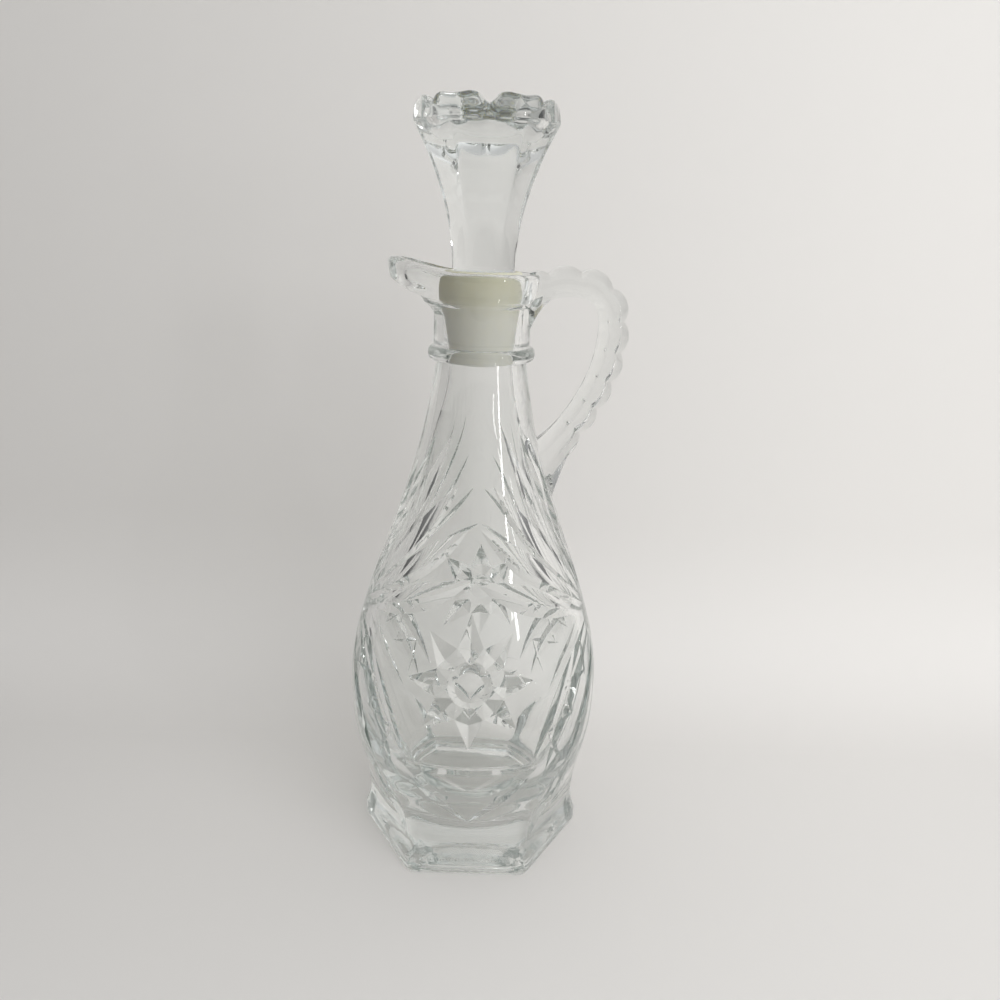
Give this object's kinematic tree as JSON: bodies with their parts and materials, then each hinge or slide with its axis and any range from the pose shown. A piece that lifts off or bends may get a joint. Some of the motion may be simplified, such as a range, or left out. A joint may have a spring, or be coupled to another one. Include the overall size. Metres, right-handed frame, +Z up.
{
  "type": "oil and vinegar cruet",
  "caption": "Clear pressed-glass cruet with a hexagonal foot, starred body, pouring lip and loop handle, closed by a trumpet-shaped glass stopper in a milky plastic sleeve",
  "frame": {"origin": "centre of the foot's flat underside", "axes": "+Z up along the bottle's axis, the pouring lip towards -X, the handle towards +X, the star panels facing -Y and +Y"},
  "size_m": [0.0703, 0.0716, 0.1947],
  "materials": {
    "clear_glass": "polished, clear",
    "milky_plastic": "satin, translucent"
  },
  "bodies": {
    "bottle": {"bottle_body": "clear_glass", "handle": "clear_glass"},
    "sleeve": {"stopper_sleeve": "milky_plastic"},
    "stopper": {"glass_stopper": "clear_glass"}
  },
  "joints": [
    {"name": "stopper_lift", "type": "slide", "parent": "bottle", "child": "sleeve", "axis": [0, 0, 1], "range_m": [0, 0.06]},
    {"name": "stopper_twist", "type": "hinge", "parent": "sleeve", "child": "stopper", "pos_m": [0, 0, 0.1555], "axis": [0, 0, 1], "continuous": true}
  ]
}
